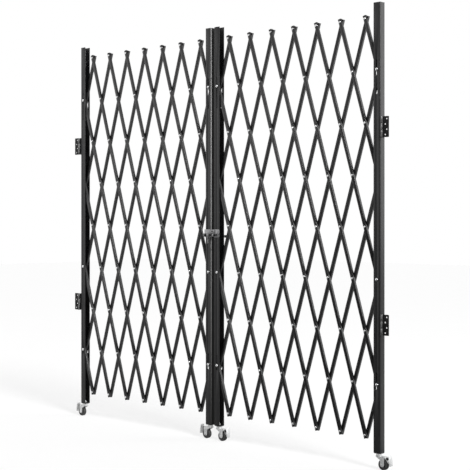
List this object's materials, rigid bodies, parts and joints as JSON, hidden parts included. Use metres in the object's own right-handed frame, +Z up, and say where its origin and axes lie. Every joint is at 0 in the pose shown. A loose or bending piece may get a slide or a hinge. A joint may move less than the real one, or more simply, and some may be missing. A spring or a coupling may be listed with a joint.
{
  "type": "double folding security gate",
  "caption": "Tall double scissor gate of riveted black channel bars between channel posts on swivel casters, with wall hinges and a slide bolt latch.",
  "frame": {"origin": "middle of the back face of the left upper wall leaf, where the gate is screwed to the wall; the floor is 1.563 m below it", "axes": "+X along the gate from the left half to the right half, +Y from the gate's front to its back, +Z up"},
  "size_m": [2.2598, 0.0764, 2.134],
  "materials": {
    "black_paint": "satin black paint",
    "zinc": "bright zinc plate",
    "tyre": "black moulded rubber"
  },
  "bodies": {
    "latch_bolt": {"latch_bolt": "zinc"},
    "latch_handle": {"latch_handle": "zinc"},
    "left_back_bar_01": {"left_back_bar_01": "black_paint"},
    "left_back_bar_02": {"left_back_bar_02": "black_paint"},
    "left_back_bar_03": {"left_back_bar_03": "black_paint"},
    "left_back_bar_04": {"left_back_bar_04": "black_paint"},
    "left_back_bar_05": {"left_back_bar_05": "black_paint"},
    "left_back_bar_06": {"left_back_bar_06": "black_paint"},
    "left_back_bar_07": {"left_back_bar_07": "black_paint"},
    "left_back_bar_08": {"left_back_bar_08": "black_paint"},
    "left_back_bar_09": {"left_back_bar_09": "black_paint"},
    "left_back_bar_10": {"left_back_bar_10": "black_paint"},
    "left_back_bar_11": {"left_back_bar_11": "black_paint"},
    "left_front_bar_01": {"left_front_bar_01": "black_paint"},
    "left_front_bar_02": {"left_front_bar_02": "black_paint"},
    "left_front_bar_03": {"left_front_bar_03": "black_paint"},
    "left_front_bar_04": {"left_front_bar_04": "black_paint"},
    "left_front_bar_05": {"left_front_bar_05": "black_paint"},
    "left_front_bar_06": {"left_front_bar_06": "black_paint"},
    "left_front_bar_07": {"left_front_bar_07": "black_paint"},
    "left_front_bar_08": {"left_front_bar_08": "black_paint"},
    "left_front_bar_09": {"left_front_bar_09": "black_paint"},
    "left_front_bar_10": {"left_front_bar_10": "black_paint"},
    "left_front_bar_11": {"left_front_bar_11": "black_paint"},
    "left_meeting_caster_fork": {"left_meeting_caster_fork": "zinc"},
    "left_meeting_caster_wheel": {"left_meeting_caster_wheel": "tyre"},
    "left_meeting_post": {"left_meeting_post": "black_paint"},
    "left_upper_wall_leaf": {"left_upper_wall_leaf": "black_paint"},
    "left_wall_caster_fork": {"left_wall_caster_fork": "zinc"},
    "left_wall_caster_wheel": {"left_wall_caster_wheel": "tyre"},
    "left_wall_post": {"left_wall_post": "black_paint"},
    "right_back_bar_01": {"right_back_bar_01": "black_paint"},
    "right_back_bar_02": {"right_back_bar_02": "black_paint"},
    "right_back_bar_03": {"right_back_bar_03": "black_paint"},
    "right_back_bar_04": {"right_back_bar_04": "black_paint"},
    "right_back_bar_05": {"right_back_bar_05": "black_paint"},
    "right_back_bar_06": {"right_back_bar_06": "black_paint"},
    "right_back_bar_07": {"right_back_bar_07": "black_paint"},
    "right_back_bar_08": {"right_back_bar_08": "black_paint"},
    "right_back_bar_09": {"right_back_bar_09": "black_paint"},
    "right_back_bar_10": {"right_back_bar_10": "black_paint"},
    "right_back_bar_11": {"right_back_bar_11": "black_paint"},
    "right_front_bar_01": {"right_front_bar_01": "black_paint"},
    "right_front_bar_02": {"right_front_bar_02": "black_paint"},
    "right_front_bar_03": {"right_front_bar_03": "black_paint"},
    "right_front_bar_04": {"right_front_bar_04": "black_paint"},
    "right_front_bar_05": {"right_front_bar_05": "black_paint"},
    "right_front_bar_06": {"right_front_bar_06": "black_paint"},
    "right_front_bar_07": {"right_front_bar_07": "black_paint"},
    "right_front_bar_08": {"right_front_bar_08": "black_paint"},
    "right_front_bar_09": {"right_front_bar_09": "black_paint"},
    "right_front_bar_10": {"right_front_bar_10": "black_paint"},
    "right_front_bar_11": {"right_front_bar_11": "black_paint"},
    "right_meeting_caster_fork": {"right_meeting_caster_fork": "zinc"},
    "right_meeting_caster_wheel": {"right_meeting_caster_wheel": "tyre"},
    "right_meeting_post": {"right_meeting_post": "black_paint"},
    "right_upper_wall_leaf": {"right_upper_wall_leaf": "black_paint"},
    "right_wall_caster_fork": {"right_wall_caster_fork": "zinc"},
    "right_wall_caster_wheel": {"right_wall_caster_wheel": "tyre"},
    "right_wall_post": {"right_wall_post": "black_paint"}
  },
  "joints": [
    {"name": "left_wall_swing", "type": "hinge", "parent": "left_upper_wall_leaf", "child": "left_wall_post", "pos_m": [0.022, -0.005, 0], "axis": [0, 0, 1], "range_deg": [-170, 0]},
    {"name": "left_fold", "type": "hinge", "parent": "left_wall_post", "child": "left_back_bar_03", "pos_m": [0.054, 0.001, -0.6955], "axis": [0, 1, 0], "range_deg": [-13.5, 15]},
    {"name": "left_front_bar_01_turn", "type": "hinge", "parent": "left_back_bar_04", "child": "left_front_bar_01", "pos_m": [0.054, 0.001, -1.17556], "axis": [0, 1, 0], "range_deg": [-30, 27]},
    {"name": "left_front_bar_02_turn", "type": "hinge", "parent": "left_back_bar_03", "child": "left_front_bar_02", "pos_m": [0.054, 0.001, -0.6955], "axis": [0, 1, 0], "range_deg": [-30, 27]},
    {"name": "left_front_bar_03_turn", "type": "hinge", "parent": "left_back_bar_03", "child": "left_front_bar_03", "pos_m": [0.12738, 0.001, -0.45547], "axis": [0, 1, 0], "range_deg": [-30, 27]},
    {"name": "left_front_bar_04_turn", "type": "hinge", "parent": "left_back_bar_03", "child": "left_front_bar_04", "pos_m": [0.20077, 0.001, -0.21543], "axis": [0, 1, 0], "range_deg": [-30, 27]},
    {"name": "left_front_bar_05_turn", "type": "hinge", "parent": "left_back_bar_03", "child": "left_front_bar_05", "pos_m": [0.27416, 0.001, 0.0246], "axis": [0, 1, 0], "range_deg": [-30, 27]},
    {"name": "left_front_bar_06_turn", "type": "hinge", "parent": "left_back_bar_03", "child": "left_front_bar_06", "pos_m": [0.34754, 0.001, 0.26463], "axis": [0, 1, 0], "range_deg": [-30, 27]},
    {"name": "left_front_bar_07_turn", "type": "hinge", "parent": "left_back_bar_03", "child": "left_front_bar_07", "pos_m": [0.42093, 0.001, 0.50466], "axis": [0, 1, 0], "range_deg": [-30, 27]},
    {"name": "left_front_bar_08_turn", "type": "hinge", "parent": "left_back_bar_10", "child": "left_front_bar_08", "pos_m": [1.00801, 0.001, -0.93553], "axis": [0, 1, 0], "range_deg": [-30, 27]},
    {"name": "left_front_bar_09_turn", "type": "hinge", "parent": "left_back_bar_10", "child": "left_front_bar_09", "pos_m": [1.08139, 0.001, -0.6955], "axis": [0, 1, 0], "range_deg": [-30, 27]},
    {"name": "left_front_bar_10_turn", "type": "hinge", "parent": "left_back_bar_06", "child": "left_front_bar_10", "pos_m": [0.86124, 0.001, 0.50466], "axis": [0, 1, 0], "range_deg": [-30, 27]},
    {"name": "left_front_bar_11_turn", "type": "hinge", "parent": "left_back_bar_07", "child": "left_front_bar_11", "pos_m": [1.00801, 0.001, 0.50466], "axis": [0, 1, 0], "range_deg": [-30, 27]},
    {"name": "left_back_bar_01_turn", "type": "hinge", "parent": "left_front_bar_05", "child": "left_back_bar_01", "pos_m": [0.12738, 0.001, 0.50466], "axis": [0, 1, 0], "range_deg": [-27, 30]},
    {"name": "left_back_bar_02_turn", "type": "hinge", "parent": "left_front_bar_06", "child": "left_back_bar_02", "pos_m": [0.27416, 0.001, 0.50466], "axis": [0, 1, 0], "range_deg": [-27, 30]},
    {"name": "left_back_bar_04_turn", "type": "hinge", "parent": "left_front_bar_07", "child": "left_back_bar_04", "pos_m": [0.49431, 0.001, 0.26463], "axis": [0, 1, 0], "range_deg": [-27, 30]},
    {"name": "left_back_bar_05_turn", "type": "hinge", "parent": "left_front_bar_07", "child": "left_back_bar_05", "pos_m": [0.5677, 0.001, 0.0246], "axis": [0, 1, 0], "range_deg": [-27, 30]},
    {"name": "left_back_bar_06_turn", "type": "hinge", "parent": "left_front_bar_07", "child": "left_back_bar_06", "pos_m": [0.64108, 0.001, -0.21543], "axis": [0, 1, 0], "range_deg": [-27, 30]},
    {"name": "left_back_bar_07_turn", "type": "hinge", "parent": "left_front_bar_07", "child": "left_back_bar_07", "pos_m": [0.71447, 0.001, -0.45547], "axis": [0, 1, 0], "range_deg": [-27, 30]},
    {"name": "left_back_bar_08_turn", "type": "hinge", "parent": "left_front_bar_07", "child": "left_back_bar_08", "pos_m": [0.78785, 0.001, -0.6955], "axis": [0, 1, 0], "range_deg": [-27, 30]},
    {"name": "left_back_bar_09_turn", "type": "hinge", "parent": "left_front_bar_07", "child": "left_back_bar_09", "pos_m": [0.86124, 0.001, -0.93553], "axis": [0, 1, 0], "range_deg": [-27, 30]},
    {"name": "left_back_bar_10_turn", "type": "hinge", "parent": "left_front_bar_07", "child": "left_back_bar_10", "pos_m": [0.93462, 0.001, -1.17556], "axis": [0, 1, 0], "range_deg": [-27, 30]},
    {"name": "left_back_bar_11_turn", "type": "hinge", "parent": "left_front_bar_07", "child": "left_back_bar_11", "pos_m": [1.00801, 0.001, -1.4156], "axis": [0, 1, 0], "range_deg": [-27, 30]},
    {"name": "left_meeting_post_level", "type": "hinge", "parent": "left_back_bar_10", "child": "left_meeting_post", "pos_m": [1.08139, 0.001, -0.6955], "axis": [0, 1, 0], "range_deg": [-15, 13.5]},
    {"name": "right_fold", "type": "hinge", "parent": "right_meeting_post", "child": "right_back_bar_03", "pos_m": [1.14539, 0.001, -0.6955], "axis": [0, 1, 0], "range_deg": [-13.5, 15]},
    {"name": "right_front_bar_01_turn", "type": "hinge", "parent": "right_back_bar_04", "child": "right_front_bar_01", "pos_m": [1.14539, 0.001, -1.17556], "axis": [0, 1, 0], "range_deg": [-30, 27]},
    {"name": "right_front_bar_02_turn", "type": "hinge", "parent": "right_back_bar_03", "child": "right_front_bar_02", "pos_m": [1.14539, 0.001, -0.6955], "axis": [0, 1, 0], "range_deg": [-30, 27]},
    {"name": "right_front_bar_03_turn", "type": "hinge", "parent": "right_back_bar_03", "child": "right_front_bar_03", "pos_m": [1.21878, 0.001, -0.45547], "axis": [0, 1, 0], "range_deg": [-30, 27]},
    {"name": "right_front_bar_04_turn", "type": "hinge", "parent": "right_back_bar_03", "child": "right_front_bar_04", "pos_m": [1.29217, 0.001, -0.21543], "axis": [0, 1, 0], "range_deg": [-30, 27]},
    {"name": "right_front_bar_05_turn", "type": "hinge", "parent": "right_back_bar_03", "child": "right_front_bar_05", "pos_m": [1.36555, 0.001, 0.0246], "axis": [0, 1, 0], "range_deg": [-30, 27]},
    {"name": "right_front_bar_06_turn", "type": "hinge", "parent": "right_back_bar_03", "child": "right_front_bar_06", "pos_m": [1.43894, 0.001, 0.26463], "axis": [0, 1, 0], "range_deg": [-30, 27]},
    {"name": "right_front_bar_07_turn", "type": "hinge", "parent": "right_back_bar_03", "child": "right_front_bar_07", "pos_m": [1.51232, 0.001, 0.50466], "axis": [0, 1, 0], "range_deg": [-30, 27]},
    {"name": "right_front_bar_08_turn", "type": "hinge", "parent": "right_back_bar_10", "child": "right_front_bar_08", "pos_m": [2.0994, 0.001, -0.93553], "axis": [0, 1, 0], "range_deg": [-30, 27]},
    {"name": "right_front_bar_09_turn", "type": "hinge", "parent": "right_back_bar_10", "child": "right_front_bar_09", "pos_m": [2.17279, 0.001, -0.6955], "axis": [0, 1, 0], "range_deg": [-30, 27]},
    {"name": "right_front_bar_10_turn", "type": "hinge", "parent": "right_back_bar_06", "child": "right_front_bar_10", "pos_m": [1.95263, 0.001, 0.50466], "axis": [0, 1, 0], "range_deg": [-30, 27]},
    {"name": "right_front_bar_11_turn", "type": "hinge", "parent": "right_back_bar_07", "child": "right_front_bar_11", "pos_m": [2.0994, 0.001, 0.50466], "axis": [0, 1, 0], "range_deg": [-30, 27]},
    {"name": "right_back_bar_01_turn", "type": "hinge", "parent": "right_front_bar_05", "child": "right_back_bar_01", "pos_m": [1.21878, 0.001, 0.50466], "axis": [0, 1, 0], "range_deg": [-27, 30]},
    {"name": "right_back_bar_02_turn", "type": "hinge", "parent": "right_front_bar_06", "child": "right_back_bar_02", "pos_m": [1.36555, 0.001, 0.50466], "axis": [0, 1, 0], "range_deg": [-27, 30]},
    {"name": "right_back_bar_04_turn", "type": "hinge", "parent": "right_front_bar_07", "child": "right_back_bar_04", "pos_m": [1.58571, 0.001, 0.26463], "axis": [0, 1, 0], "range_deg": [-27, 30]},
    {"name": "right_back_bar_05_turn", "type": "hinge", "parent": "right_front_bar_07", "child": "right_back_bar_05", "pos_m": [1.65909, 0.001, 0.0246], "axis": [0, 1, 0], "range_deg": [-27, 30]},
    {"name": "right_back_bar_06_turn", "type": "hinge", "parent": "right_front_bar_07", "child": "right_back_bar_06", "pos_m": [1.73248, 0.001, -0.21543], "axis": [0, 1, 0], "range_deg": [-27, 30]},
    {"name": "right_back_bar_07_turn", "type": "hinge", "parent": "right_front_bar_07", "child": "right_back_bar_07", "pos_m": [1.80586, 0.001, -0.45547], "axis": [0, 1, 0], "range_deg": [-27, 30]},
    {"name": "right_back_bar_08_turn", "type": "hinge", "parent": "right_front_bar_07", "child": "right_back_bar_08", "pos_m": [1.87925, 0.001, -0.6955], "axis": [0, 1, 0], "range_deg": [-27, 30]},
    {"name": "right_back_bar_09_turn", "type": "hinge", "parent": "right_front_bar_07", "child": "right_back_bar_09", "pos_m": [1.95263, 0.001, -0.93553], "axis": [0, 1, 0], "range_deg": [-27, 30]},
    {"name": "right_back_bar_10_turn", "type": "hinge", "parent": "right_front_bar_07", "child": "right_back_bar_10", "pos_m": [2.02602, 0.001, -1.17556], "axis": [0, 1, 0], "range_deg": [-27, 30]},
    {"name": "right_back_bar_11_turn", "type": "hinge", "parent": "right_front_bar_07", "child": "right_back_bar_11", "pos_m": [2.0994, 0.001, -1.4156], "axis": [0, 1, 0], "range_deg": [-27, 30]},
    {"name": "right_wall_post_level", "type": "hinge", "parent": "right_back_bar_10", "child": "right_wall_post", "pos_m": [2.17279, 0.001, -0.6955], "axis": [0, 1, 0], "range_deg": [-15, 13.5]},
    {"name": "halves_part", "type": "slide", "parent": "left_meeting_post", "child": "right_meeting_post", "axis": [1, 0, 0], "range_m": [0, 1.62]},
    {"name": "right_wall_swing", "type": "hinge", "parent": "right_wall_post", "child": "right_upper_wall_leaf", "pos_m": [2.20479, -0.005, 0], "axis": [0, 0, 1], "range_deg": [-170, 0]},
    {"name": "latch_bolt_slide", "type": "slide", "parent": "left_meeting_post", "child": "latch_bolt", "axis": [-1, 0, 0], "range_m": [0, 0.017]},
    {"name": "latch_handle_turn", "type": "hinge", "parent": "latch_bolt", "child": "latch_handle", "pos_m": [1.09089, -0.01, -0.503], "axis": [1, 0, 0], "range_deg": [-90, 0]},
    {"name": "left_wall_caster_swivel", "type": "hinge", "parent": "left_wall_post", "child": "left_wall_caster_fork", "pos_m": [0.053, 0.0185, -1.563], "axis": [0, 0, 1], "continuous": true},
    {"name": "left_wall_caster_roll", "type": "hinge", "parent": "left_wall_caster_fork", "child": "left_wall_caster_wheel", "pos_m": [0.027, 0.0185, -1.538], "axis": [0, 1, 0], "continuous": true},
    {"name": "left_meeting_caster_swivel", "type": "hinge", "parent": "left_meeting_post", "child": "left_meeting_caster_fork", "pos_m": [1.08239, 0.0185, -1.563], "axis": [0, 0, 1], "range_deg": [-135, 135]},
    {"name": "left_meeting_caster_roll", "type": "hinge", "parent": "left_meeting_caster_fork", "child": "left_meeting_caster_wheel", "pos_m": [1.05639, 0.0185, -1.538], "axis": [0, 1, 0], "continuous": true},
    {"name": "right_wall_caster_swivel", "type": "hinge", "parent": "right_wall_post", "child": "right_wall_caster_fork", "pos_m": [2.17379, 0.0185, -1.563], "axis": [0, 0, 1], "continuous": true},
    {"name": "right_wall_caster_roll", "type": "hinge", "parent": "right_wall_caster_fork", "child": "right_wall_caster_wheel", "pos_m": [2.19979, 0.0185, -1.538], "axis": [0, 1, 0], "continuous": true},
    {"name": "right_meeting_caster_swivel", "type": "hinge", "parent": "right_meeting_post", "child": "right_meeting_caster_fork", "pos_m": [1.14439, 0.0185, -1.563], "axis": [0, 0, 1], "range_deg": [-135, 135]},
    {"name": "right_meeting_caster_roll", "type": "hinge", "parent": "right_meeting_caster_fork", "child": "right_meeting_caster_wheel", "pos_m": [1.17039, 0.0185, -1.538], "axis": [0, 1, 0], "continuous": true}
  ],
  "couplings": [
    {"joint": "left_front_bar_01_turn", "follows": "left_fold", "ratio": -2},
    {"joint": "left_front_bar_02_turn", "follows": "left_fold", "ratio": -2},
    {"joint": "left_front_bar_03_turn", "follows": "left_fold", "ratio": -2},
    {"joint": "left_front_bar_04_turn", "follows": "left_fold", "ratio": -2},
    {"joint": "left_front_bar_05_turn", "follows": "left_fold", "ratio": -2},
    {"joint": "left_front_bar_06_turn", "follows": "left_fold", "ratio": -2},
    {"joint": "left_front_bar_07_turn", "follows": "left_fold", "ratio": -2},
    {"joint": "left_front_bar_08_turn", "follows": "left_fold", "ratio": -2},
    {"joint": "left_front_bar_09_turn", "follows": "left_fold", "ratio": -2},
    {"joint": "left_front_bar_10_turn", "follows": "left_fold", "ratio": -2},
    {"joint": "left_front_bar_11_turn", "follows": "left_fold", "ratio": -2},
    {"joint": "left_back_bar_01_turn", "follows": "left_fold", "ratio": 2},
    {"joint": "left_back_bar_02_turn", "follows": "left_fold", "ratio": 2},
    {"joint": "left_back_bar_04_turn", "follows": "left_fold", "ratio": 2},
    {"joint": "left_back_bar_05_turn", "follows": "left_fold", "ratio": 2},
    {"joint": "left_back_bar_06_turn", "follows": "left_fold", "ratio": 2},
    {"joint": "left_back_bar_07_turn", "follows": "left_fold", "ratio": 2},
    {"joint": "left_back_bar_08_turn", "follows": "left_fold", "ratio": 2},
    {"joint": "left_back_bar_09_turn", "follows": "left_fold", "ratio": 2},
    {"joint": "left_back_bar_10_turn", "follows": "left_fold", "ratio": 2},
    {"joint": "left_back_bar_11_turn", "follows": "left_fold", "ratio": 2},
    {"joint": "left_meeting_post_level", "follows": "left_fold", "ratio": -1},
    {"joint": "right_front_bar_01_turn", "follows": "right_fold", "ratio": -2},
    {"joint": "right_front_bar_02_turn", "follows": "right_fold", "ratio": -2},
    {"joint": "right_front_bar_03_turn", "follows": "right_fold", "ratio": -2},
    {"joint": "right_front_bar_04_turn", "follows": "right_fold", "ratio": -2},
    {"joint": "right_front_bar_05_turn", "follows": "right_fold", "ratio": -2},
    {"joint": "right_front_bar_06_turn", "follows": "right_fold", "ratio": -2},
    {"joint": "right_front_bar_07_turn", "follows": "right_fold", "ratio": -2},
    {"joint": "right_front_bar_08_turn", "follows": "right_fold", "ratio": -2},
    {"joint": "right_front_bar_09_turn", "follows": "right_fold", "ratio": -2},
    {"joint": "right_front_bar_10_turn", "follows": "right_fold", "ratio": -2},
    {"joint": "right_front_bar_11_turn", "follows": "right_fold", "ratio": -2},
    {"joint": "right_back_bar_01_turn", "follows": "right_fold", "ratio": 2},
    {"joint": "right_back_bar_02_turn", "follows": "right_fold", "ratio": 2},
    {"joint": "right_back_bar_04_turn", "follows": "right_fold", "ratio": 2},
    {"joint": "right_back_bar_05_turn", "follows": "right_fold", "ratio": 2},
    {"joint": "right_back_bar_06_turn", "follows": "right_fold", "ratio": 2},
    {"joint": "right_back_bar_07_turn", "follows": "right_fold", "ratio": 2},
    {"joint": "right_back_bar_08_turn", "follows": "right_fold", "ratio": 2},
    {"joint": "right_back_bar_09_turn", "follows": "right_fold", "ratio": 2},
    {"joint": "right_back_bar_10_turn", "follows": "right_fold", "ratio": 2},
    {"joint": "right_back_bar_11_turn", "follows": "right_fold", "ratio": 2},
    {"joint": "right_wall_post_level", "follows": "right_fold", "ratio": -1}
  ]
}
